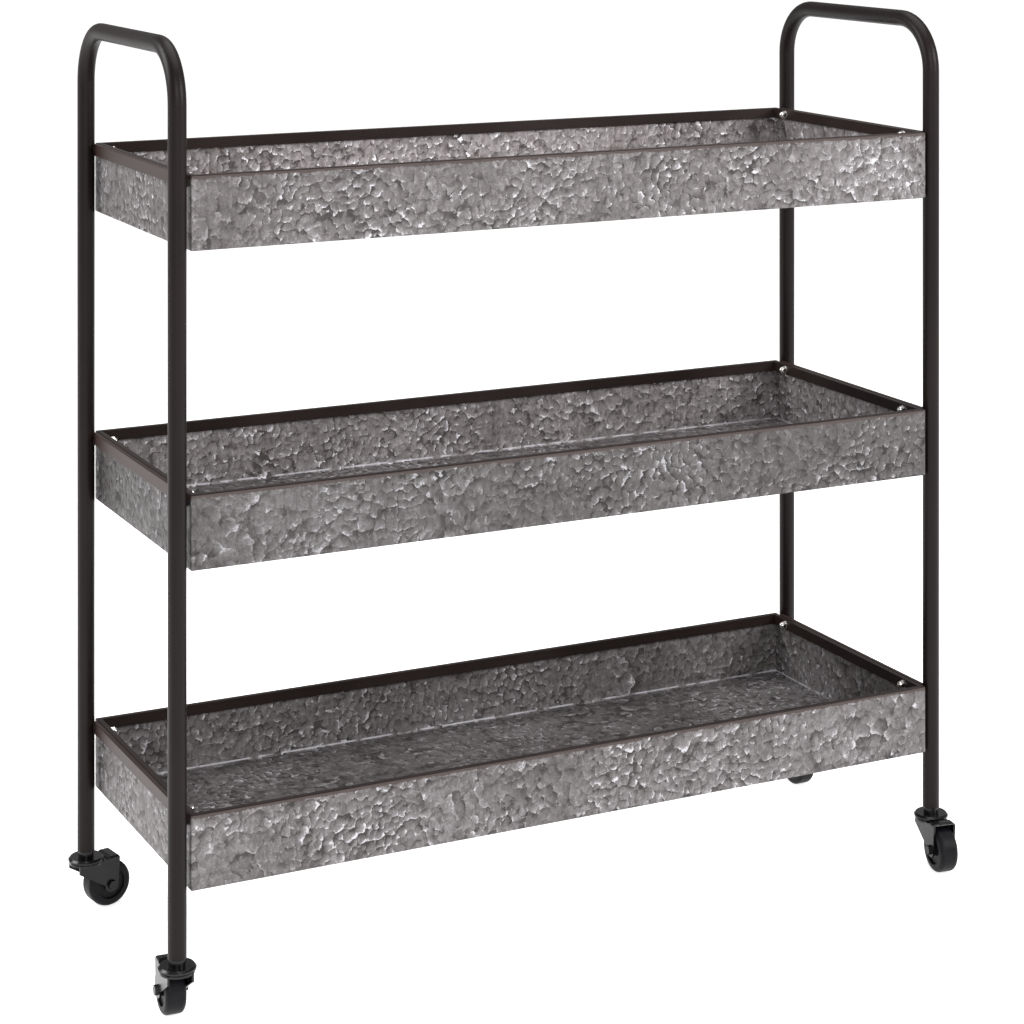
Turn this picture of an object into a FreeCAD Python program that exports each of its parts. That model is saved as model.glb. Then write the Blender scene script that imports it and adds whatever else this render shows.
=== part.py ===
import FreeCAD, Part
import math
import os
import Sketcher

# A three-tier plant trolley: two bent-tube side frames on swivel casters carry three
# galvanised trays, each bolted at its ends to a flat rail welded between the legs.
# X runs along the trolley, Y across it, Z up; the origin is on the floor, midway
# between the four legs. Lengths are millimetres and angles degrees.

doc = FreeCAD.newDocument("plant_trolley")

# ---------------------------------------------------------------- driving dimensions
DIMENSIONS = {
    "tube_dia": 19,  # outside of the frame tube
    "tube_wall": 1.2,
    "leg_span_x": 913,  # leg axis to leg axis, along the trolley
    "leg_span_y": 310,  # leg axis to leg axis, across it
    "tube_rise": 918,  # tube end to the top of the handle
    "bend_radius": 58,  # centre line of the handle's two bends
    "tray_depth": 324,  # across the trolley, outside the sheet
    "tray_height": 76,  # rim top to the underside of the sheet
    "sheet_gauge": 0.8,
    "lip_drop": 1,  # sheet edge below the top of the rim bars
    "tab_width": 14,  # folded corner tabs of a tray
    "bottom_rim_rise": 142,  # tube end to the bottom tray's rim
    "tier_pitch": 319.5,  # rim to rim
    "end_gap": 2.7,  # tray end to the nearest face of the tube
    "rail_thickness": 4.8,
    "rail_height": 13,
    "rail_gap": 0.2,  # rail to tray end
    "cope_depth": 6,  # how far a rail runs in past the side of a leg
    "rim_bar_width": 6,
    "rim_bar_height": 12,
    "bar_edge": 0.7,  # rounding along the bars
    "bead_radius": 2.6,  # weld at each rail end
    "weld_gap": 0.05,
    "stud_inset": 34,  # outside of a tray's long wall to the nearest stud axis
    "stud_radius": 2.5,
    "stud_hole_gap": 0.25,
    "thread_gap": 0.04,
    "washer_radius": 5,
    "washer_thickness": 1,
    "nut_flats": 8,
    "nut_hex_height": 4,
    "nut_dome_radius": 3.8,
    "wheel_radius": 25,
    "tyre_width": 22,
    "tyre_edge": 5,
    "hub_radius": 16.5,
    "hub_width": 17,
    "boss_radius": 6.5,
    "boss_gap": 0.5,  # hub boss to fork plate
    "axle_radius": 3,
    "axle_flats": 9,
    "axle_head_height": 3.5,
    "caster_trail": 25,  # swivel axis to axle
    "head_room": 0.8,  # wheel top to fork crown
    "hood_rise": 3.6,  # raised part of the crown, over the wheel
    "hood_slope": 4,  # length of the step up to it
    "fork_slot": 23,
    "fork_plate": 2.2,
    "crown_radius": 18,
    "crown_front": 35,  # swivel axis to the front of the hood
    "crown_back": 14,
    "crown_skirt": 9,
    "lug_radius": 8,
    "lug_corner": 7.5,  # rounding below the axle
    "hood_edge": 3.5,  # rounding round the top of the hood
    "race_radius": 19.5,
    "race_thickness": 2,
    "race_lip": 1.8,
    "race_wall": 1.6,  # thickness of the lip
    "ball_radius": 1.5,
    "ball_circle": 12,
    "moving_gap": 0.3,
    "fit_gap": 0.05,  # radial clearance of a turning fit
    "kingpin_radius": 4,
    "kingpin_head_radius": 6.5,
    "kingpin_head_height": 2.4,
    "collar_radius": 8.4,
    "collar_height": 6.5,
    "stem_radius": 5,
    "stem_length": 22,
    "insert_length": 26,
    "front_left_swivel": 86,  # direction in which each wheel trails
    "front_right_swivel": 261,
    "rear_left_swivel": 10,
    "rear_right_swivel": 270,
}
BALLS_IN_RACE = 12

sheet = doc.addObject("Spreadsheet::Sheet", "sizes")
for row, (alias, number) in enumerate(DIMENSIONS.items(), start=1):
    sheet.set(f"A{row}", alias)
    sheet.set(f"B{row}", str(number))
    sheet.setAlias(f"B{row}", alias)
doc.recompute()


class Size:
    """A length kept twice: as an expression on the sheet, and as its present value."""

    def __init__(self, text, value):
        self.text = text
        self.value = value

    def _with(self, other, sign, result):
        text = other.text if isinstance(other, Size) else repr(other)
        return Size(f"({self.text} {sign} {text})", result)

    def __add__(self, other):
        return self._with(other, "+", self.value + number_of(other))

    def __sub__(self, other):
        return self._with(other, "-", self.value - number_of(other))

    def __mul__(self, other):
        return self._with(other, "*", self.value * number_of(other))

    def __truediv__(self, other):
        return self._with(other, "/", self.value / number_of(other))

    def __neg__(self):
        return Size(f"(0 - {self.text})", -self.value)

    def root(self):
        return Size(f"sqrt({self.text})", math.sqrt(self.value))

    def cos(self):
        return Size(f"cos({self.text} * 1 deg)", math.cos(math.radians(self.value)))

    def sin(self):
        return Size(f"sin({self.text} * 1 deg)", math.sin(math.radians(self.value)))


def number_of(item):
    return item.value if isinstance(item, Size) else item


def size(alias):
    return Size(f"sizes.{alias}", float(sheet.get(alias)))


ZERO = Size("0", 0.0)

# ---------------------------------------------------------------- worked-out places
tube_radius = size("tube_dia") / 2
half_span_x = size("leg_span_x") / 2
half_span_y = size("leg_span_y") / 2
tray_half_length = half_span_x - tube_radius - size("end_gap")
tray_half_depth = size("tray_depth") / 2
wall_x = tray_half_length - size("sheet_gauge")  # inside of a tray's end wall
wall_y = tray_half_depth - size("sheet_gauge")
rail_inner = tray_half_length + size("rail_gap")
rail_outer = rail_inner + size("rail_thickness")
stud_y = tray_half_depth - size("stud_inset")

crown_bottom = size("wheel_radius") * 2 + size("head_room")
crown_top = crown_bottom + size("fork_plate")
hood_start = size("race_radius") + size("moving_gap") * 2
hood_end = hood_start + size("hood_slope")
hood_top = crown_top + size("hood_rise")
race_bottom = crown_top + size("ball_radius") * 2 + size("moving_gap")
race_top = race_bottom + size("race_thickness")
tube_end = race_top + size("collar_height")
slot_half = size("fork_slot") / 2
fork_half = slot_half + size("fork_plate")

TIERS = {"bottom": 0, "middle": 1, "top": 2}
SIDES = {"left": -1, "right": 1}
ENDS = {"front": -1, "rear": 1}


def rim_top(tier):
    return tube_end + size("bottom_rim_rise") + size("tier_pitch") * TIERS[tier]


# ---------------------------------------------------------------- small makers
nodes = []


def keep(item, name):
    """Name a finished sub-part and put it on the list of nodes."""
    item.Label = name
    nodes.append(item)
    return item


def place(item, at, turn=None):
    """Put an object at three bound coordinates, turned by an optional Rotation."""
    if turn is not None:
        item.Placement = FreeCAD.Placement(FreeCAD.Vector(), turn)
    for letter, coordinate in zip("xyz", at):
        if coordinate is not ZERO:
            item.setExpression(f"Placement.Base.{letter}", coordinate.text)
    return item


def block(name, low, high):
    item = doc.addObject("Part::Box", name)
    for side, start, stop in zip(("Length", "Width", "Height"), low, high):
        item.setExpression(side, (stop - start).text)
    return place(item, low)


def rod(name, radius, length, at, turn=None):
    item = doc.addObject("Part::Cylinder", name)
    item.setExpression("Radius", radius.text)
    item.setExpression("Height", length.text)
    return place(item, at, turn)


def cut(name, base, *tools):
    tool = tools[0]
    if len(tools) > 1:
        tool = doc.addObject("Part::MultiFuse", name + "_tools")
        tool.Shapes = list(tools)
    item = doc.addObject("Part::Cut", name)
    item.Base = base
    item.Tool = tool
    return item


def group(name, members):
    item = doc.addObject("Part::Compound", name)
    item.Links = members
    return keep(item, name)


def new_body(name):
    return doc.addObject("PartDesign::Body", name)


def sketch_on(body, plane, name, height=None):
    """A sketch on one of the body's own planes, lifted along its normal if asked."""
    sketch = body.newObject("Sketcher::SketchObject", name)
    origin_plane = [f for f in body.Origin.OriginFeatures if f.Role == plane][0]
    sketch.AttachmentSupport = [(origin_plane, "")]
    sketch.MapMode = "FlatFace"
    if height is not None:
        sketch.setExpression("AttachmentOffset.Base.z", height.text)
    return sketch


def pin_point(sketch, edge, end, point):
    """Tie one sketch point to bound distances from the sketch's origin."""
    for kind, coordinate, on_axis in zip(("DistanceX", "DistanceY"), point, (-2, -1)):
        if coordinate is ZERO:
            sketch.addConstraint(Sketcher.Constraint("PointOnObject", edge, end, on_axis))
            continue
        made = Sketcher.Constraint(kind, -1, 1, edge, end, coordinate.value)
        number = sketch.addConstraint(made)
        sketch.setExpression(f"Constraints[{number}]", coordinate.text)


def outline(sketch, points):
    """Draw a closed polygon through bound points."""
    spots = [FreeCAD.Vector(u.value, v.value, 0) for u, v in points]
    first = sketch.GeometryCount
    for spot, following in zip(spots, spots[1:] + spots[:1]):
        sketch.addGeometry(Part.LineSegment(spot, following))
    count = len(points)
    for step in range(count):
        here = first + step
        after = first + (step + 1) % count
        sketch.addConstraint(Sketcher.Constraint("Coincident", here, 2, after, 1))
    for step, point in enumerate(points):
        pin_point(sketch, first + step, 1, point)


def rectangle(sketch, u_low, u_high, v_low, v_high):
    outline(sketch, [(u_low, v_low), (u_high, v_low), (u_high, v_high), (u_low, v_high)])


def circle(sketch, centre, radius):
    middle = FreeCAD.Vector(centre[0].value, centre[1].value, 0)
    up = FreeCAD.Vector(0, 0, 1)
    edge = sketch.addGeometry(Part.Circle(middle, up, radius.value))
    pin_point(sketch, edge, 3, centre)
    number = sketch.addConstraint(Sketcher.Constraint("Radius", edge, radius.value))
    sketch.setExpression(f"Constraints[{number}]", radius.text)


def pad(body, sketch, length, symmetric=False):
    feature = body.newObject("PartDesign::Pad", sketch.Name + "_pad")
    feature.Profile = sketch
    feature.setExpression("Length", length.text)
    if symmetric:
        feature.SideType = "Symmetric"
    return feature


def pocket_through(body, sketch):
    """Cut a sketch right through the body, to both sides of its plane."""
    doc.recompute()
    before = body.Shape.Volume
    feature = body.newObject("PartDesign::Pocket", sketch.Name + "_pocket")
    feature.Profile = sketch
    feature.Type = "ThroughAll"
    feature.SideType = "Symmetric"
    doc.recompute()
    if body.Shape.Volume >= before:
        raise RuntimeError(f"{feature.Name} removed nothing")
    return feature


def turned(name, profile):
    """A lathe-turned body: a closed radius and height profile spun about Z."""
    body = new_body(name)
    sketch = sketch_on(body, "XZ_Plane", name + "_profile")
    outline(sketch, profile)
    feature = body.newObject("PartDesign::Revolution", name + "_turned")
    feature.Profile = sketch
    feature.ReferenceAxis = (sketch, ["V_Axis"])
    feature.Angle = 360
    return body


def round_edges(body, radius, wanted):
    """Fillet the edges of the body's last feature that the test picks out."""
    doc.recompute()
    base = body.Tip
    names = [f"Edge{n}" for n, edge in enumerate(base.Shape.Edges, start=1) if wanted(edge)]
    feature = body.newObject("PartDesign::Fillet", body.Name + f"_round_{len(body.Group)}")
    feature.Base = (base, names)
    feature.setExpression("Radius", radius.text)
    return feature


def runs_along(axis, least=0.0):
    """A test for straight edges along one axis that are longer than a given length."""

    def test(edge):
        if edge.Curve.TypeId != "Part::GeomLine" or edge.Length < least:
            return False
        return abs(abs(edge.Curve.Direction[axis]) - 1) < 1e-6

    return test


# ---------------------------------------------------------------- side frames
# Each side is one tube: up the front leg, over the handle and down the rear leg.
def frame_tube(side):
    name = f"{side}_frame_tube"
    body = new_body(name)
    rise = size("tube_rise") - tube_radius
    bend = size("bend_radius")
    shoulder = rise - bend
    inner = half_span_y - bend
    spine = sketch_on(body, "YZ_Plane", name + "_centre_line")
    spots = {
        "front_foot": FreeCAD.Vector(-half_span_y.value, 0, 0),
        "front_shoulder": FreeCAD.Vector(-half_span_y.value, shoulder.value, 0),
        "front_top": FreeCAD.Vector(-inner.value, rise.value, 0),
        "rear_top": FreeCAD.Vector(inner.value, rise.value, 0),
        "rear_shoulder": FreeCAD.Vector(half_span_y.value, shoulder.value, 0),
        "rear_foot": FreeCAD.Vector(half_span_y.value, 0, 0),
    }
    up = FreeCAD.Vector(0, 0, 1)
    front_bend = Part.Circle(FreeCAD.Vector(-inner.value, shoulder.value, 0), up, bend.value)
    rear_bend = Part.Circle(FreeCAD.Vector(inner.value, shoulder.value, 0), up, bend.value)
    front_leg = Part.LineSegment(spots["front_foot"], spots["front_shoulder"])
    handle = Part.LineSegment(spots["front_top"], spots["rear_top"])
    rear_leg = Part.LineSegment(spots["rear_shoulder"], spots["rear_foot"])
    spine.addGeometry(front_leg)
    spine.addGeometry(Part.ArcOfCircle(front_bend, math.pi / 2, math.pi))
    spine.addGeometry(handle)
    spine.addGeometry(Part.ArcOfCircle(rear_bend, 0, math.pi / 2))
    spine.addGeometry(rear_leg)
    for joint in ((0, 2, 1, 2), (1, 1, 2, 1), (2, 2, 3, 2), (3, 1, 4, 1)):
        spine.addConstraint(Sketcher.Constraint("Coincident", *joint))
    pin_point(spine, 0, 1, (-half_span_y, ZERO))
    pin_point(spine, 0, 2, (-half_span_y, shoulder))
    pin_point(spine, 2, 1, (-inner, rise))
    pin_point(spine, 2, 2, (inner, rise))
    pin_point(spine, 4, 1, (half_span_y, shoulder))
    pin_point(spine, 4, 2, (half_span_y, ZERO))
    for arc in (1, 3):
        number = spine.addConstraint(Sketcher.Constraint("Radius", arc, bend.value))
        spine.setExpression(f"Constraints[{number}]", bend.text)
    profile = sketch_on(body, "XY_Plane", name + "_section")
    circle(profile, (ZERO, -half_span_y), tube_radius)
    circle(profile, (ZERO, -half_span_y), tube_radius - size("tube_wall"))
    doc.recompute()
    pipe = body.newObject("PartDesign::AdditivePipe", name + "_bent")
    pipe.Profile = profile
    pipe.Spine = (spine, [f"Edge{n}" for n in range(1, 6)])
    place(body, (half_span_x * SIDES[side], ZERO, tube_end))
    keep(body, name)


# Flat bar between the two legs at each tray's rim, its ends coped to the tubes.
def rail(side, tier):
    name = f"{side}_rail_{tier}"
    body = new_body(name)
    low, high = sorted((rail_inner * SIDES[side], rail_outer * SIDES[side]), key=number_of)
    reach = half_span_y - tube_radius + size("cope_depth")
    section = sketch_on(body, "XY_Plane", name + "_plan")
    rectangle(section, low, high, -reach, reach)
    pad(body, section, size("rail_height"))
    round_edges(body, size("bar_edge"), runs_along(1))
    copes = sketch_on(body, "XY_Plane", name + "_copes")
    for end in ENDS.values():
        centre = (half_span_x * SIDES[side], half_span_y * end)
        circle(copes, centre, tube_radius + size("weld_gap"))
    pocket_through(body, copes)
    place(body, (ZERO, ZERO, rim_top(tier) - size("rail_height")))
    keep(body, name)


# A vertical bead in each corner between a rail's outer face and a leg.
def weld_beads(side):
    beads = []
    reach = half_span_x - rail_outer
    chord = (tube_radius * tube_radius - reach * reach).root()
    for tier in TIERS:
        low = rim_top(tier) - size("rail_height")
        for end, sign in ENDS.items():
            name = f"{side}_{tier}_{end}_bead"
            corner = (rail_outer * SIDES[side], (half_span_y - chord) * sign, low)
            bead = rod(name + "_bar", size("bead_radius"), size("rail_height"), corner)
            leg = (half_span_x * SIDES[side], half_span_y * sign, low)
            tube = rod(name + "_tube", tube_radius + size("weld_gap"), size("rail_height"), leg)
            if side == "left":
                start, stop = rail_outer * -1, ZERO
            else:
                start, stop = ZERO, rail_outer
            inboard = block(
                name + "_inboard", (start, -half_span_y, low), (stop, half_span_y, rim_top(tier))
            )
            beads.append(cut(name, bead, tube, inboard))
    group(f"{side}_weld_beads", beads)


for side in SIDES:
    frame_tube(side)
    for tier in TIERS:
        rail(side, tier)
    weld_beads(side)


# ---------------------------------------------------------------- trays
# One folded sheet: floor, four walls, and a tab of each end wall lapped inside the
# front or back wall at every corner.
def tray_pan(tier):
    name = f"{tier}_tray_pan"
    body = new_body(name)
    wall_height = size("tray_height") - size("lip_drop")
    floor = sketch_on(body, "XY_Plane", name + "_floor")
    rectangle(floor, -tray_half_length, tray_half_length, -tray_half_depth, tray_half_depth)
    pad(body, floor, size("sheet_gauge"))
    walls = sketch_on(body, "XY_Plane", name + "_walls")
    rectangle(walls, -tray_half_length, tray_half_length, -tray_half_depth, tray_half_depth)
    rectangle(walls, -wall_x, wall_x, -wall_y, wall_y)
    pad(body, walls, wall_height)
    tabs = sketch_on(body, "XY_Plane", name + "_tabs")
    tab_x = wall_x - size("tab_width")
    tab_y = wall_y - size("sheet_gauge")
    rectangle(tabs, tab_x, wall_x, tab_y, wall_y)
    rectangle(tabs, -wall_x, -tab_x, tab_y, wall_y)
    rectangle(tabs, tab_x, wall_x, -wall_y, -tab_y)
    rectangle(tabs, -wall_x, -tab_x, -wall_y, -tab_y)
    pad(body, tabs, size("tray_height") - size("rim_bar_height"))
    holes = sketch_on(body, "YZ_Plane", name + "_stud_holes")
    hole_height = size("tray_height") - size("rim_bar_height") / 2
    for end in ENDS.values():
        circle(holes, (stud_y * end, hole_height), size("stud_radius") + size("stud_hole_gap"))
    pocket_through(body, holes)
    place(body, (ZERO, ZERO, rim_top(tier) - size("tray_height")))
    keep(body, name)


# Flat bars inside the walls stiffen the rim: long ones front and back, and short
# ones between them at the ends, drilled for the studs.
def long_rim_bar(tier, end):
    name = f"{tier}_rim_{end}_bar"
    body = new_body(name)
    near, far = sorted(
        (wall_y * ENDS[end], (wall_y - size("rim_bar_width")) * ENDS[end]), key=number_of
    )
    section = sketch_on(body, "XY_Plane", name + "_plan")
    rectangle(section, -wall_x, wall_x, near, far)
    pad(body, section, size("rim_bar_height"))
    round_edges(body, size("bar_edge"), runs_along(0))
    place(body, (ZERO, ZERO, rim_top(tier) - size("rim_bar_height")))
    keep(body, name)


def end_rim_bar(tier, side):
    name = f"{tier}_rim_{side}_bar"
    body = new_body(name)
    near, far = sorted(
        (wall_x * SIDES[side], (wall_x - size("rim_bar_width")) * SIDES[side]), key=number_of
    )
    reach = wall_y - size("rim_bar_width")
    section = sketch_on(body, "XY_Plane", name + "_plan")
    rectangle(section, near, far, -reach, reach)
    pad(body, section, size("rim_bar_height"))
    round_edges(body, size("bar_edge"), runs_along(1))
    holes = sketch_on(body, "YZ_Plane", name + "_stud_holes")
    for sign in ENDS.values():
        centre = (stud_y * sign, size("rim_bar_height") / 2)
        circle(holes, centre, size("stud_radius") + size("stud_hole_gap"))
    pocket_through(body, holes)
    place(body, (ZERO, ZERO, rim_top(tier) - size("rim_bar_height")))
    keep(body, name)


# Four studs stand on the rails' inner faces and pass through each tray; a washer and
# a domed nut on each clamp the rim bar and the sheet to the rail.
def fixings(tier):
    studs, washers, nuts = [], [], []
    clamp_face = wall_x - size("rim_bar_width")
    nut_face = clamp_face - size("washer_thickness")
    stud_tip = nut_face - size("nut_hex_height")
    height = rim_top(tier) - size("rim_bar_height") / 2
    for side, side_sign in SIDES.items():
        inward = FreeCAD.Rotation(FreeCAD.Vector(0, 1, 0), -90 * side_sign)
        for end, end_sign in ENDS.items():
            spot = f"{tier}_{side}_{end}"

            def at(reach):
                return (reach * side_sign, stud_y * end_sign, height)

            studs.append(
                rod(spot + "_stud", size("stud_radius"), rail_inner - stud_tip, at(rail_inner), inward)
            )
            disc = rod(
                spot + "_disc", size("washer_radius"), size("washer_thickness"), at(clamp_face), inward
            )
            bore_radius = size("stud_radius") + size("stud_hole_gap")
            bore = rod(spot + "_bore", bore_radius, size("washer_thickness"), at(clamp_face), inward)
            washers.append(cut(spot + "_washer", disc, bore))
            hexagon = doc.addObject("Part::Prism", spot + "_hexagon")
            hexagon.Polygon = 6
            hexagon.setExpression("Circumradius", (size("nut_flats") / math.sqrt(3)).text)
            hexagon.setExpression("Height", size("nut_hex_height").text)
            place(hexagon, at(nut_face), inward)
            dome = doc.addObject("Part::Sphere", spot + "_dome")
            dome.setExpression("Radius", size("nut_dome_radius").text)
            dome.Angle1 = 0
            place(dome, at(stud_tip), inward)
            blank = doc.addObject("Part::MultiFuse", spot + "_blank")
            blank.Shapes = [hexagon, dome]
            thread = rod(
                spot + "_thread",
                size("stud_radius") + size("thread_gap"),
                size("nut_hex_height") + size("thread_gap"),
                at(nut_face),
                inward,
            )
            nuts.append(cut(spot + "_nut", blank, thread))
    group(f"{tier}_weld_studs", studs)
    group(f"{tier}_washers", washers)
    group(f"{tier}_cap_nuts", nuts)


for tier in TIERS:
    tray_pan(tier)
    for end in ENDS:
        long_rim_bar(tier, end)
    for side in SIDES:
        end_rim_bar(tier, side)
    fixings(tier)


# ---------------------------------------------------------------- casters
# A threaded insert closes each leg, and the caster's stem screws into it.
def leg_inserts():
    inserts = []
    outer = tube_radius - size("tube_wall") - size("thread_gap")
    for side, side_sign in SIDES.items():
        for end, end_sign in ENDS.items():
            name = f"{end}_{side}_insert"
            foot = (half_span_x * side_sign, half_span_y * end_sign, tube_end)
            plug = rod(name + "_plug", outer, size("insert_length"), foot)
            bore_radius = size("stem_radius") + size("thread_gap")
            bore = rod(name + "_bore", bore_radius, size("insert_length"), foot)
            inserts.append(cut(name, plug, bore))
    group("leg_inserts", inserts)


# Stem, collar, dished upper race and riveted kingpin, all in one piece.
def caster_stem(corner, foot):
    rivet_top = crown_bottom - size("moving_gap")
    rivet_bottom = rivet_top - size("kingpin_head_height")
    lip_bottom = race_bottom - size("race_lip")
    lip_inner = size("race_radius") - size("race_wall")
    profile = [
        (ZERO, rivet_bottom),
        (size("kingpin_head_radius"), rivet_bottom),
        (size("kingpin_head_radius"), rivet_top),
        (size("kingpin_radius"), rivet_top),
        (size("kingpin_radius"), race_bottom),
        (lip_inner, race_bottom),
        (lip_inner, lip_bottom),
        (size("race_radius"), lip_bottom),
        (size("race_radius"), race_bottom),
        (size("race_radius") - size("race_thickness"), race_top),
        (size("collar_radius"), race_top),
        (size("collar_radius"), tube_end),
        (size("stem_radius"), tube_end),
        (size("stem_radius"), tube_end + size("stem_length")),
        (ZERO, tube_end + size("stem_length")),
    ]
    body = turned(f"{corner}_caster_stem", profile)
    place(body, foot + (ZERO,))
    keep(body, f"{corner}_caster_stem")


# Pressed fork: two side plates under a crown, folded from one sheet, with a round
# lower race around the kingpin hole.
def caster_fork(corner, foot, swing):
    name = f"{corner}_caster_fork"
    body = new_body(name)
    trail = size("caster_trail")
    axle_height = size("wheel_radius")
    lug = size("lug_radius")
    side_view = sketch_on(body, "XZ_Plane", name + "_side_view")
    outline(
        side_view,
        [
            (-size("crown_back"), crown_top),
            (hood_start, crown_top),
            (hood_end, hood_top),
            (size("crown_front"), hood_top),
            (trail + lug, axle_height),
            (trail + lug, axle_height - lug),
            (trail - lug, axle_height - lug),
            (trail - lug, axle_height),
            (-size("crown_back"), crown_top - size("crown_skirt")),
        ],
    )
    pad(body, side_view, fork_half * 2, symmetric=True)

    def lower_corner(edge):
        return runs_along(1)(edge) and edge.BoundBox.ZMax < axle_height.value - lug.value / 2

    round_edges(body, size("lug_corner"), lower_corner)

    def hood_edge(edge):
        box = edge.BoundBox
        return box.ZMin > hood_top.value - 1e-6 and box.XMax > hood_end.value + 1e-6

    round_edges(body, size("hood_edge"), hood_edge)
    slot = sketch_on(body, "XZ_Plane", name + "_slot")
    slot_back = -size("crown_back") * 2
    slot_front = size("crown_front") * 2
    outline(
        slot,
        [
            (slot_back, ZERO),
            (slot_front, ZERO),
            (slot_front, crown_bottom + size("hood_rise")),
            (hood_end, crown_bottom + size("hood_rise")),
            (hood_start, crown_bottom),
            (slot_back, crown_bottom),
        ],
    )
    opened = body.newObject("PartDesign::Pocket", name + "_slot_pocket")
    opened.Profile = slot
    opened.SideType = "Symmetric"
    opened.setExpression("Length", size("fork_slot").text)
    lower_race = sketch_on(body, "XY_Plane", name + "_lower_race", crown_bottom)
    circle(lower_race, (ZERO, ZERO), size("crown_radius"))
    pad(body, lower_race, size("fork_plate"))
    kingpin_hole = sketch_on(body, "XY_Plane", name + "_kingpin_hole")
    circle(kingpin_hole, (ZERO, ZERO), size("kingpin_radius") + size("fit_gap"))
    pocket_through(body, kingpin_hole)
    axle_hole = sketch_on(body, "XZ_Plane", name + "_axle_hole")
    circle(axle_hole, (trail, axle_height), size("axle_radius") + size("fit_gap"))
    pocket_through(body, axle_hole)
    place(body, foot + (ZERO,), swing)
    keep(body, name)


# Loose balls between the two races.
def caster_balls(corner, foot, swing):
    balls = []
    for step in range(BALLS_IN_RACE):
        angle = 2 * math.pi * step / BALLS_IN_RACE
        ball = doc.addObject("Part::Sphere", f"{corner}_ball_{step + 1}")
        ball.setExpression("Radius", size("ball_radius").text)
        spot = (
            size("ball_circle") * math.cos(angle),
            size("ball_circle") * math.sin(angle),
            crown_top + size("ball_radius"),
        )
        balls.append(place(ball, spot))
    rolling = group(f"{corner}_caster_balls", balls)
    place(rolling, foot + (ZERO,), swing)


# Axle bolt through both fork plates, with its nut.
def caster_axle(corner, foot, swing):
    name = f"{corner}_axle_bolt"
    across = FreeCAD.Rotation(FreeCAD.Vector(1, 0, 0), -90)
    trail = size("caster_trail")
    height = size("wheel_radius")
    flats = size("axle_flats") / math.sqrt(3)
    head_height = size("axle_head_height")

    def hexagon(tag, start):
        item = doc.addObject("Part::Prism", f"{name}_{tag}")
        item.Polygon = 6
        item.setExpression("Circumradius", flats.text)
        item.setExpression("Height", head_height.text)
        return place(item, (trail, start, height), across)

    shank_length = fork_half * 2 + head_height * 2
    shank_start = -fork_half - head_height
    radius = size("axle_radius")
    shank = rod(f"{name}_shank", radius, shank_length, (trail, shank_start, height), across)
    bolt = doc.addObject("Part::MultiFuse", f"{name}_bolt")
    bolt.Shapes = [shank, hexagon("head", shank_start)]
    bore_radius = radius + size("thread_gap")
    bore = rod(f"{name}_bore", bore_radius, head_height, (trail, fork_half, height), across)
    nut = cut(f"{name}_nut", hexagon("nut_blank", fork_half), bore)
    axle = group(name, [bolt, nut])
    place(axle, foot + (ZERO,), swing)


# Moulded hub with a boss each side, and the tyre pressed round it. Both are turned
# about Z and then laid over onto the axle.
def caster_wheel(corner, foot, swing, angle):
    axle_point = (
        foot[0] + size("caster_trail") * angle.cos(),
        foot[1] + size("caster_trail") * angle.sin(),
        size("wheel_radius"),
    )
    lie_over = swing.multiply(FreeCAD.Rotation(FreeCAD.Vector(1, 0, 0), -90))
    bore = size("axle_radius") + size("fit_gap")
    boss_half = slot_half - size("boss_gap")
    web_half = size("hub_width") / 2
    hub_name = f"{corner}_wheel_hub"
    hub = turned(
        hub_name,
        [
            (bore, -boss_half),
            (size("boss_radius"), -boss_half),
            (size("boss_radius"), -web_half),
            (size("hub_radius"), -web_half),
            (size("hub_radius"), web_half),
            (size("boss_radius"), web_half),
            (size("boss_radius"), boss_half),
            (bore, boss_half),
        ],
    )
    keep(place(hub, axle_point, lie_over), hub_name)
    tyre_name = f"{corner}_tyre"
    half = size("tyre_width") / 2
    edge = size("tyre_edge")
    radius = size("wheel_radius")
    tyre = turned(
        tyre_name,
        [
            (size("hub_radius"), -half),
            (radius, -half),
            (radius, half),
            (size("hub_radius"), half),
        ],
    )

    def tread_edge(item):
        if item.Curve.TypeId != "Part::GeomCircle":
            return False
        return abs(item.Curve.Radius - radius.value) < 1e-6

    round_edges(tyre, edge, tread_edge)
    keep(place(tyre, axle_point, lie_over), tyre_name)


leg_inserts()
for end, end_sign in ENDS.items():
    for side, side_sign in SIDES.items():
        corner = f"{end}_{side}"
        foot = (half_span_x * side_sign, half_span_y * end_sign)
        angle = size(f"{corner}_swivel")
        swing = FreeCAD.Rotation(FreeCAD.Vector(0, 0, 1), angle.value)
        caster_stem(corner, foot)
        caster_fork(corner, foot, swing)
        caster_balls(corner, foot, swing)
        caster_axle(corner, foot, swing)
        caster_wheel(corner, foot, swing, angle)

# ---------------------------------------------------------------- check and write
doc.recompute()
for item in doc.Objects:
    if "Invalid" in item.State or "Error" in item.State:
        raise RuntimeError(f"{item.Name} did not compute: {item.State}")
for item in nodes:
    if item.Shape.isNull() or not item.Shape.isValid() or not item.Shape.Solids:
        raise RuntimeError(f"{item.Label} has no valid solid")

os.makedirs("parts", exist_ok=True)
for item in nodes:
    item.Shape.exportStep(os.path.join("parts", item.Label + ".step"))
print(len(nodes), "nodes written")
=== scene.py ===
import math
import bpy
from mathutils import Matrix, Vector


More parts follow.
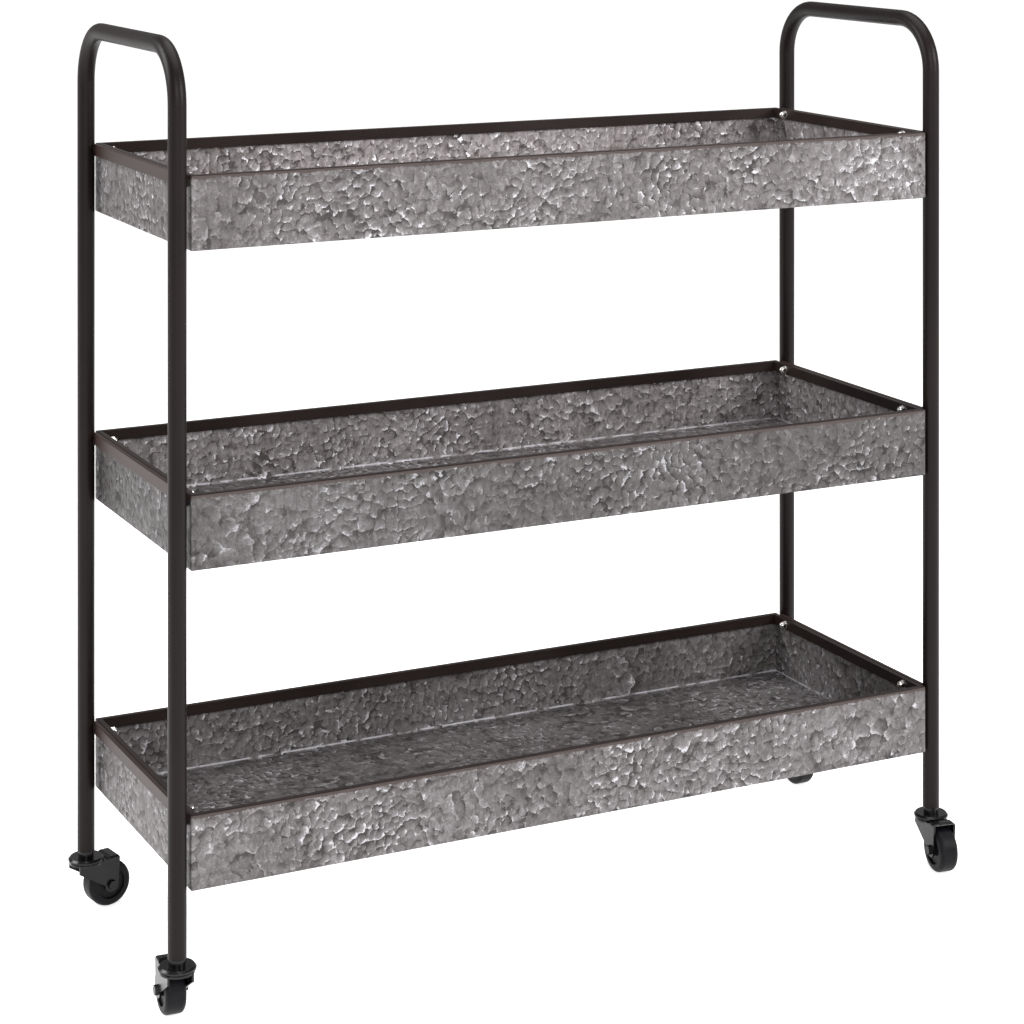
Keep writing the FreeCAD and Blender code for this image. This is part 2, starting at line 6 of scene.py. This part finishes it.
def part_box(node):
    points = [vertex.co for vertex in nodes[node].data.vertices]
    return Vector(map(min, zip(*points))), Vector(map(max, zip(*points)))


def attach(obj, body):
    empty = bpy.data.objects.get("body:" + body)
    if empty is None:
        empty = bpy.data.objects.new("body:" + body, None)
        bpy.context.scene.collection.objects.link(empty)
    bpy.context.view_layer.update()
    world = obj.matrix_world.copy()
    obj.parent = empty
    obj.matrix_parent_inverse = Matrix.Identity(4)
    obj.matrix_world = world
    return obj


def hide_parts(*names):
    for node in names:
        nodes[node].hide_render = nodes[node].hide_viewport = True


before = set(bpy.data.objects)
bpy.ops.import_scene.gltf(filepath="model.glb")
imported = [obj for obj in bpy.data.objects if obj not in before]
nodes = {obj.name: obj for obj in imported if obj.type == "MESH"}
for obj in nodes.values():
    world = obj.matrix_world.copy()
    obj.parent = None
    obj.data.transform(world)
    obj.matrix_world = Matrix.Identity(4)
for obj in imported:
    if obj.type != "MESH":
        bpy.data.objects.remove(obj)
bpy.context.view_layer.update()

# ---- Camera ----------------------------------------------------------------------
# A level view camera with its lens lowered, so that upright tubes are drawn upright. The
# lowered lens is a slanted optical axis, carried by the camera's stand.
CAMERA_SPOT = Vector((-1.2887, -2.6011, 1.1677))
CAMERA_YAW = 0.4631
LENS_MM = 93.10
LENS_SHIFT = -0.0136
SENSOR_MM = 36
AXIS_SLOPE = 0.25698
stand = bpy.data.objects.new("camera_stand", None)
bpy.context.scene.collection.objects.link(stand)
stand.matrix_world = (
    Matrix.Translation(CAMERA_SPOT)
    @ Matrix.Rotation(-CAMERA_YAW, 4, "Z")
    @ Matrix.Rotation(math.radians(90), 4, "X")
)
camera = bpy.data.objects.new("camera", bpy.data.cameras.new("camera"))
bpy.context.scene.collection.objects.link(camera)
camera.data.lens = LENS_MM
camera.data.sensor_width = SENSOR_MM
camera.data.shift_x = LENS_SHIFT
slanted_axis = Matrix.Identity(4)
slanted_axis[1][2] = AXIS_SLOPE
camera.parent = stand
camera.matrix_parent_inverse = slanted_axis
bpy.context.scene.camera = camera

# ---- Floor and studio light --------------------------------------------------------
# A broad, pale, matt floor that gives off a little light; a soft window near the left
# end, a large one in front, a smaller one from the right, and an overhead panel.
FLOOR_SIZE = 160
FLOOR_GREY = (0.92, 0.92, 0.92, 1)
FLOOR_GLOW = 0.72
ROOM_TINT = (1.0, 0.98, 0.98, 1)
ROOM_LIGHT = 0.38
LIGHT_TARGET = Vector((0, 0, 0.5))
bpy.ops.mesh.primitive_plane_add(size=FLOOR_SIZE, location=(0, 0, 0))
floor = bpy.context.object
floor.name = "studio_floor"
floor_paint = bpy.data.materials.new("studio_floor")
floor_paint.use_nodes = True
floor_bsdf = floor_paint.node_tree.nodes["Principled BSDF"]
floor_bsdf.inputs["Base Color"].default_value = FLOOR_GREY
floor_bsdf.inputs["Roughness"].default_value = 0.7
floor_bsdf.inputs["Emission Color"].default_value = (1, 1, 1, 1)
floor_bsdf.inputs["Emission Strength"].default_value = FLOOR_GLOW
floor_bsdf.inputs["Specular IOR Level"].default_value = 0.2
floor.data.materials.append(floor_paint)

world = bpy.data.worlds.new("studio")
world.use_nodes = True
background = world.node_tree.nodes["Background"]
background.inputs["Color"].default_value = ROOM_TINT
background.inputs["Strength"].default_value = ROOM_LIGHT
bpy.context.scene.world = world
bpy.context.scene.view_settings.view_transform = "Standard"


def soft_window(name, spot, size, watts):
    light = bpy.data.lights.new(name, "AREA")
    light.size = size
    light.energy = watts
    item = bpy.data.objects.new(name, light)
    bpy.context.scene.collection.objects.link(item)
    item.visible_camera = False
    item.location = spot
    item.rotation_mode = "QUATERNION"
    item.rotation_quaternion = (Vector(spot) - LIGHT_TARGET).to_track_quat("Z", "Y")


soft_window("window_left", (-2.1, 0.9, 1.8), 1.2, 42)
soft_window("window_front", (-1.5, -4.0, 2.3), 2.2, 84)
soft_window("window_right", (2.1, -2.5, 1.9), 1.3, 78)
soft_window("panel_overhead", (0.2, 0.1, 3.4), 3.0, 80)

# ---- Bent frame tubes and rails ------------------------------------------------------
# Mild steel tube and flat bar, welded up and sprayed a dark bronze satin. The paint has
# a fine orange-peel skin and slightly uneven colour.


class Signal:
    """A shader value that Python arithmetic can be written with."""

    def __init__(self, tree, socket):
        self.tree = tree
        self.socket = socket

    def node(self, kind, inputs, output=0, stops=None, **settings):
        made = self.tree.nodes.new(kind)
        for setting, choice in settings.items():
            setattr(made, setting, choice)
        if stops:
            ramp = made.color_ramp
            while len(ramp.elements) < len(stops):
                ramp.elements.new(0.5)
            for element, (place, colour) in zip(ramp.elements, stops):
                element.position = place
                element.color = colour
        for key, item in inputs.items():
            if isinstance(item, Signal):
                self.tree.links.new(item.socket, made.inputs[key])
            else:
                made.inputs[key].default_value = item
        return Signal(self.tree, made.outputs[output])

    def maths(self, operation, other):
        return self.node("ShaderNodeMath", {0: self, 1: other}, operation=operation)

    def __add__(self, other):
        return self.maths("ADD", other)

    def __sub__(self, other):
        return self.maths("SUBTRACT", other)

    def __rsub__(self, other):
        return (self * -1) + other

    def __mul__(self, other):
        return self.maths("MULTIPLY", other)

    __radd__ = __add__
    __rmul__ = __mul__

    def step(self, low, high):
        """0 at low, 1 at high, smooth between; low may be the greater."""
        if low > high:
            return 1 - self.step(high, low)
        inputs = {0: self, 1: low, 2: high, 3: 0.0, 4: 1.0}
        return self.node("ShaderNodeMapRange", inputs, interpolation_type="SMOOTHSTEP")

    def between(self, first, second):
        """A colour from first to second as this value goes from 0 to 1."""
        inputs = {0: self, 6: first, 7: second}
        return self.node("ShaderNodeMix", inputs, output=2, data_type="RGBA")

    def axis(self, letter):
        return self.node("ShaderNodeSeparateXYZ", {0: self}, output="XYZ".index(letter))

    def noise(self, scale, detail=3.0, roughness=0.5):
        inputs = {"Vector": self, "Scale": scale, "Detail": detail, "Roughness": roughness}
        return self.node("ShaderNodeTexNoise", inputs)

    def noise_colour(self, scale, detail=2.0):
        inputs = {"Vector": self, "Scale": scale, "Detail": detail}
        return self.node("ShaderNodeTexNoise", inputs, output=1)

    def vector(self, operation, other, output=0):
        inputs = {0: self, 1: other}
        return self.node("ShaderNodeVectorMath", inputs, output=output, operation=operation)


def start_finish(name):
    """A new material, its Principled shader and its Object coordinates."""
    material = bpy.data.materials.new(name)
    material.use_nodes = True
    tree = material.node_tree
    shader = tree.nodes["Principled BSDF"]
    coordinates = tree.nodes.new("ShaderNodeTexCoord")
    return material, shader, Signal(tree, coordinates.outputs["Object"])


def feed(shader, socket, signal):
    signal.tree.links.new(signal.socket, shader.inputs[socket])


def emboss(shader, height, distance, strength=1.0):
    inputs = {"Strength": strength, "Distance": distance, "Height": height}
    feed(shader, "Normal", height.node("ShaderNodeBump", inputs))


def finish_piece(piece, material):
    piece.data.materials.clear()
    piece.data.materials.append(material)


def bronze_paint(name, dark, light):
    material, shader, spot = start_finish(name)
    cloud = spot.noise(9.0, 4.0)
    grain = spot.noise(420.0, 2.0)
    tint = (cloud * 0.75 + grain * 0.25).step(0.3, 0.7)
    feed(shader, "Base Color", tint.between(dark, light))
    feed(shader, "Roughness", 0.34 + cloud * 0.14)
    shader.inputs["Specular IOR Level"].default_value = 0.13
    shader.inputs["Coat Roughness"].default_value = 0.30
    shader.inputs["Coat Weight"].default_value = 0.05
    emboss(shader, grain + spot.noise(1500.0, 2.0) * 0.5, 0.00006, 0.5)
    return material


TUBE_BRONZE = ((0.0050, 0.0027, 0.0025, 1), (0.0088, 0.0053, 0.0050, 1))
# The rails get a lighter copy of the same bronze: painted light on their flat outer faces.
LIT_RAIL_BRONZE = ((0.0240, 0.0140, 0.0120, 1), (0.0430, 0.0280, 0.0250, 1))
frame_paint = bronze_paint("frame_paint", *TUBE_BRONZE)
rail_paint = bronze_paint("rail_paint", *LIT_RAIL_BRONZE)
SIDES = ("left", "right")
TIERS = ("bottom", "middle", "top")
for side in SIDES:
    finish_piece(nodes[f"{side}_frame_tube"], frame_paint)
    finish_piece(nodes[f"{side}_weld_beads"], frame_paint)
    for tier in TIERS:
        finish_piece(nodes[f"{side}_rail_{tier}"], rail_paint)

# ---- Weld beads ----------------------------------------------------------------------
# A short run of weld metal closes the corner between each rail and its legs. It lies in
# uneven ripples under the paint.


def select_none():
    bpy.ops.object.select_all(action="DESELECT")


def make_active(piece):
    select_none()
    piece.select_set(True)
    bpy.context.view_layer.objects.active = piece


def apply_all(piece):
    make_active(piece)
    for modifier in list(piece.modifiers):
        bpy.ops.object.modifier_apply(modifier=modifier.name)


def worked_copy(node, name):
    """A copy of a plain node with its loose triangles merged, ready to be shaped."""
    make_active(nodes[node])
    bpy.ops.object.duplicate()
    piece = bpy.context.object
    piece.name = name
    piece.parent = None
    bpy.ops.object.mode_set(mode="EDIT")
    bpy.ops.mesh.select_all(action="SELECT")
    bpy.ops.mesh.remove_doubles(threshold=0.00001)
    bpy.ops.object.mode_set(mode="OBJECT")
    return piece


BEAD_GRID = 0.0009
RIPPLE_SIZE = 0.003
RIPPLE_HEIGHT = 0.0022
RIPPLE_MIDDLE = 0.45
for side in SIDES:
    beads = worked_copy(f"{side}_weld_beads", f"{side}_rippled_welds")
    finish_piece(beads, frame_paint)
    grid = beads.modifiers.new("grid", "REMESH")
    grid.mode = "VOXEL"
    grid.voxel_size = BEAD_GRID
    ripples = bpy.data.textures.new(f"{side}_ripples", "CLOUDS")
    ripples.noise_scale = RIPPLE_SIZE
    push = beads.modifiers.new("ripples", "DISPLACE")
    push.texture = ripples
    push.texture_coords = "LOCAL"
    push.mid_level = RIPPLE_MIDDLE
    push.strength = RIPPLE_HEIGHT
    apply_all(beads)
    bpy.ops.object.shade_smooth()
    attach(beads, "trolley_frame")
    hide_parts(f"{side}_weld_beads")

# ---- Rim bars ------------------------------------------------------------------------
# Flat bars that stiffen the top of each tray's walls from inside. The end bars are held by
# the studs and nuts, and all four are painted with the frame.
# The bars get a lighter copy of the frame's bronze: painted light on their flat faces.
LIT_BAR_BRONZE = ((0.0140, 0.0088, 0.0080, 1), (0.0240, 0.0165, 0.0150, 1))
bar_paint = bronze_paint("rim_bar_paint", *LIT_BAR_BRONZE)
for tier in TIERS:
    for edge in ("front", "rear", "left", "right"):
        finish_piece(nodes[f"{tier}_rim_{edge}_bar"], bar_paint)

# ---- Tray pans -----------------------------------------------------------------------
# Zinc-coated sheet, hammered all over, folded up into four walls. The zinc shows as
# petal-shaped crystals; the brown of the frame runs a little way down from the rim.
# Shade across the crystals, glints and a highlight along the inside fold are painted into
# the zinc's colour, and each tray's outside and inside carry their own painted light and
# shade.
SHEET = 0.0008
FOLD = 0.0016
CELL = 0.006
ZINC_TONES = (
    (0.0, (0.046, 0.039, 0.038)),
    (0.25, (0.104, 0.092, 0.091)),
    (0.50, (0.190, 0.174, 0.174)),
    (0.75, (0.345, 0.326, 0.334)),
    (1.0, (0.800, 0.790, 0.830)),
)
PAN_DEPTH = 0.076
BIG_CRYSTALS = 74.0
SMALL_CRYSTALS = 132.0
FOLD_GLINT = 0.8
FOLD_HIGHLIGHT_ZINC = (0.62, 0.62, 0.66, 1)
DIVISIONS = ((0, (12, 10)), (1, (6, 7)), (2, (11,)))
RIM_MARGIN = 0.018
CORNER_MARGIN = 0.012
CORNER_SPREAD = math.radians(50)
DENT_SIZE = 0.016
DENT_DEPTH = 0.0011
WAVE_SIZE = 0.11
WAVE_DEPTH = 0.0010
RIM_BROWN = (0.040, 0.026, 0.022, 1)
# Brightness of the same zinc for each tray's outside and inside: painted light and shade,
# not a change in the sheet.
OUTSIDE_PAINTED_LIGHT = {"bottom": 0.62, "middle": 0.43, "top": 0.66}
INSIDE_PAINTED_LIGHT = {"bottom": 0.79, "middle": 1.14, "top": 1.42}


def petals(spot, scale, seed):
    """Zinc crystals: round-edged shells that lean much the same way as their neighbours.
    The lean gives a height for the bump and is also painted into the colour as shade across
    each shell, with a painted highlight on the lit edge and painted shade on the other.
    """
    moved = spot.vector("ADD", (seed, seed, seed))
    wobble = moved.noise_colour(scale * 0.9, 2.0).vector("SUBTRACT", (0.5, 0.5, 0.5))
    fray = moved.noise_colour(scale * 4.0, 2.0).vector("SUBTRACT", (0.5, 0.5, 0.5))
    bent = moved.vector("ADD", wobble.vector("MULTIPLY", (1.1 / scale,) * 3))
    bent = bent.vector("ADD", fray.vector("MULTIPLY", (0.28 / scale,) * 3))
    inputs = {"Vector": bent, "Scale": scale, "Randomness": 1.0}
    reach = bent.node("ShaderNodeTexVoronoi", inputs, output=0)
    chance = bent.node("ShaderNodeTexVoronoi", inputs, output=1)
    centre = bent.node("ShaderNodeTexVoronoi", inputs, output=2)
    drift = moved.noise_colour(14.0, 1.0).vector("SUBTRACT", (0.44, 0.5, 0.60))
    lean = chance.vector("SUBTRACT", (0.44, 0.5, 0.62))
    lean = lean.vector("ADD", drift.vector("MULTIPLY", (2.6, 2.6, 2.6)))
    offset = bent.vector("SUBTRACT", centre).vector("MULTIPLY", (scale,) * 3)
    tilt = offset.vector("DOT_PRODUCT", lean, output=1)
    # Painted highlight along the lit edge of each shell and painted shade along its far
    # edge.
    lit_edge = tilt.step(0.14, 0.36) * reach.step(0.46, 0.72)
    shaded_edge = (tilt * -1).step(0.06, 0.34) * reach.step(0.38, 0.66)
    return tilt, chance.axis("X") - 0.5, lit_edge - shaded_edge


def galvanised(name, rim_height, painted_light_scale, fold_glint):
    material, shader, spot = start_finish(name)
    big_tilt, big_chance, big_edge = petals(spot, BIG_CRYSTALS, 0.0)
    small_tilt, small_chance, small_edge = petals(spot, SMALL_CRYSTALS, 3.1)
    zone = spot.noise(7.0, 2.0).step(0.40, 0.58)
    # The tilt and edge terms paint shade and highlight across the crystals into the zinc's
    # colour.
    big = big_tilt * 0.48 + big_chance * 0.10 + big_edge * 0.26
    small = small_tilt * 0.46 + small_chance * 0.16 + small_edge * 0.28
    crystal = big * 0.85 + small * 0.36 + (small - big) * zone * 0.70
    fine = spot.noise(520.0, 4.0, 0.7) - 0.5
    drawn = spot.vector("MULTIPLY", (1.0, 1.0, 0.45))
    streak = drawn.noise(260.0, 3.0, 0.6) - 0.5
    cloud = spot.noise(5.5, 3.0) - 0.5
    # Painted glints: bright specks on the lit crystals, added into the colour.
    glint = spot.noise(300.0, 2.0).step(0.62, 0.72) * crystal.step(0.05, 0.20)
    tone = crystal * 0.80 + fine * 0.55 + streak * 0.50 + cloud * 0.55 + glint * 0.16 + 0.49
    grey = tone.node(
        "ShaderNodeValToRGB",
        {0: tone},
        stops=[
            (place, tuple(part * painted_light_scale for part in colour) + (1,))
            for place, colour in ZINC_TONES
        ],
    )
    height = spot.axis("Z")
    ragged = spot.noise(330.0, 4.0, 0.6) * 0.0055 + spot.noise(45.0, 2.0) * 0.0040
    painted = (height + ragged).step(rim_height + 0.0004, rim_height + 0.0012)
    surface = painted.between(grey, RIM_BROWN)
    # A painted highlight along the inside fold between the walls and the floor, where the
    # bend catches the light.
    floor_edge = rim_height - PAN_DEPTH + FOLD
    fold = height.step(floor_edge + 0.0026, floor_edge + 0.0018) * height.step(
        floor_edge + 0.0002, floor_edge + 0.0008
    )
    painted_fold_highlight = fold * spot.noise(60.0, 3.0).step(0.38, 0.52) * fold_glint
    feed(shader, "Base Color", painted_fold_highlight.between(surface, FOLD_HIGHLIGHT_ZINC))
    feed(shader, "Metallic", (1 - painted) * 0.35)
    feed(shader, "Roughness", 0.50 - crystal * 0.18 + painted * 0.05)
    dents = spot.vector("ADD", (0.3, 0.1, 0.2)).noise(85.0, 2.0)
    relief = big_tilt * 0.45 + small_tilt * 0.2 + dents * 0.7 + fine * 0.10
    emboss(shader, relief, 0.0016, 0.9)
    return material


def edit_select(piece, kind, wanted):
    """Select the edges or faces of a piece that pass a test, and leave it in edit mode."""
    make_active(piece)
    bpy.ops.object.mode_set(mode="EDIT")
    bpy.ops.mesh.select_mode(type=kind)
    bpy.ops.mesh.select_all(action="DESELECT")
    bpy.ops.object.mode_set(mode="OBJECT")
    for item in piece.data.polygons if kind == "FACE" else piece.data.edges:
        item.select = wanted(piece.data, item)
    bpy.ops.object.mode_set(mode="EDIT")


def settle(piece):
    make_active(piece)
    bpy.ops.object.transform_apply(location=True, rotation=True, scale=True)


def edge_along(axis, least):
    def test(mesh, edge):
        ends = [mesh.vertices[v].co for v in edge.vertices]
        run = ends[1] - ends[0]
        return run.length > least and abs(run[axis]) > 0.99 * run.length

    return test


def divide_along(piece, axis, cuts):
    """Split every edge that runs along an axis into equal lengths."""
    for count in cuts:
        edit_select(piece, "EDGE", edge_along(axis, CELL * 1.3))
        bpy.ops.mesh.subdivide(number_cuts=count)
        bpy.ops.object.mode_set(mode="OBJECT")


def folded_pan(name, low, high):
    """An open-topped pan with small folds along its edges, divided for hammering."""
    middle = (low + high) / 2
    bpy.ops.mesh.primitive_cube_add(size=1, location=middle, scale=high - low)
    pan = bpy.context.object
    pan.name = name
    settle(pan)
    edit_select(pan, "FACE", lambda mesh, face: face.normal.z > 0.9)
    bpy.ops.mesh.delete(type="FACE")
    bpy.ops.object.mode_set(mode="OBJECT")

    def fold_edge(mesh, edge):
        ends = [mesh.vertices[v].co for v in edge.vertices]
        return min(end.z for end in ends) < low.z + 1e-5

    edit_select(pan, "EDGE", fold_edge)
    bpy.ops.mesh.bevel(offset=FOLD, segments=3, affect="EDGES")
    bpy.ops.object.mode_set(mode="OBJECT")
    for axis, cuts in DIVISIONS:
        divide_along(pan, axis, cuts)
    return pan


def hammer(pan, low, high):
    """Dent the sheet, leaving the rim and the corners true, then give it its gauge."""
    group = pan.vertex_groups.new(name="free")
    for vertex in pan.data.vertices:
        spot = vertex.co
        from_rim = (high.z - spot.z) / RIM_MARGIN
        from_corner_x = min(spot.x - low.x, high.x - spot.x)
        from_corner_y = min(spot.y - low.y, high.y - spot.y)
        from_floor = spot.z - low.z
        steps = sorted((from_corner_x, from_corner_y, from_floor))
        from_fold = steps[1] / CORNER_MARGIN
        group.add([vertex.index], max(0.0, min(1.0, from_rim, from_fold)), "REPLACE")
    dents = bpy.data.textures.new(pan.name + "_dents", "VORONOI")
    dents.noise_scale = DENT_SIZE
    dents.distance_metric = "DISTANCE_SQUARED"
    waves = bpy.data.textures.new(pan.name + "_waves", "CLOUDS")
    waves.noise_scale = WAVE_SIZE
    for texture, strength in ((dents, DENT_DEPTH), (waves, WAVE_DEPTH)):
        push = pan.modifiers.new(texture.name, "DISPLACE")
        push.texture = texture
        push.texture_coords = "LOCAL"
        push.vertex_group = "free"
        push.mid_level = 0.5
        push.strength = strength
    gauge = pan.modifiers.new("gauge", "SOLIDIFY")
    gauge.thickness = SHEET
    gauge.offset = -1
    gauge.material_offset = 1
    apply_all(pan)
    bpy.ops.object.shade_smooth_by_angle(angle=CORNER_SPREAD)


for tier in TIERS:
    low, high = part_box(f"{tier}_tray_pan")
    pan = folded_pan(f"{tier}_hammered_pan", low, high)
    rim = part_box(f"{tier}_rim_front_bar")[1].z
    finish_piece(pan, galvanised(f"{tier}_tray_outside", rim, OUTSIDE_PAINTED_LIGHT[tier], 0.0))
    inside = galvanised(f"{tier}_tray_inside", rim, INSIDE_PAINTED_LIGHT[tier], FOLD_GLINT)
    pan.data.materials.append(inside)
    hammer(pan, low, high)
    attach(pan, "trolley_frame")
    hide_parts(f"{tier}_tray_pan")

# ---- Studs, washers and cap nuts -------------------------------------------------------
# Bright nickel-plated domed nuts on washers, run down on studs through the tray's ends.


def plated(name, colour, roughness):
    material, shader, spot = start_finish(name)
    haze = spot.noise(300.0, 3.0)
    deep = tuple(part * 0.8 for part in colour[:3]) + (1,)
    feed(shader, "Base Color", haze.between(deep, colour))
    feed(shader, "Roughness", haze * 0.2 + roughness)
    shader.inputs["Metallic"].default_value = 1.0
    emboss(shader, haze, 0.00003, 0.4)
    return material


nickel = plated("bright_fixings", (0.80, 0.78, 0.75, 1), 0.10)
zinc_plate = plated("plated_stud", (0.55, 0.55, 0.54, 1), 0.28)
for tier in TIERS:
    finish_piece(nodes[f"{tier}_weld_studs"], zinc_plate)
    finish_piece(nodes[f"{tier}_washers"], nickel)
    finish_piece(nodes[f"{tier}_cap_nuts"], nickel)
finish_piece(nodes["leg_inserts"], zinc_plate)

# ---- Casters ---------------------------------------------------------------------------
# Pressed forks and races, dipped in gloss black, with a moulded wheel on a dark plated
# bolt. The stem screws up into an insert in the end of each leg.


def gloss_black(name, base, roughness, peel, shine):
    material, shader, spot = start_finish(name)
    cloud = spot.noise(60.0, 3.0)
    lighter = tuple(part * 1.8 for part in base[:3]) + (1,)
    feed(shader, "Base Color", cloud.step(0.35, 0.75).between(base, lighter))
    feed(shader, "Roughness", cloud * 0.18 + roughness)
    shader.inputs["Specular IOR Level"].default_value = shine
    emboss(shader, spot.noise(500.0, 3.0), peel, 0.5)
    return material


FORK_BLACK = (0.0030, 0.0030, 0.0034, 1)
HUB_BLACK = (0.0035, 0.0035, 0.0040, 1)
TYRE_BLACK = (0.0040, 0.0040, 0.0050, 1)
fork_black = gloss_black("black_fork", FORK_BLACK, 0.12, 0.00030, 0.30)
hub_black = gloss_black("wheel_plastic", HUB_BLACK, 0.30, 0.00006, 0.12)
tyre_black = gloss_black("tyre_rubber", TYRE_BLACK, 0.36, 0.00010, 0.12)
bolt_steel = plated("axle_steel", (0.030, 0.030, 0.032, 1), 0.22)
ball_steel = plated("bearing_steel", (0.62, 0.62, 0.62, 1), 0.10)
for corner in ("front_left", "front_right", "rear_left", "rear_right"):
    finish_piece(nodes[f"{corner}_caster_stem"], fork_black)
    finish_piece(nodes[f"{corner}_caster_fork"], fork_black)
    finish_piece(nodes[f"{corner}_caster_balls"], ball_steel)
    finish_piece(nodes[f"{corner}_axle_bolt"], bolt_steel)
    finish_piece(nodes[f"{corner}_wheel_hub"], hub_black)
    finish_piece(nodes[f"{corner}_tyre"], tyre_black)
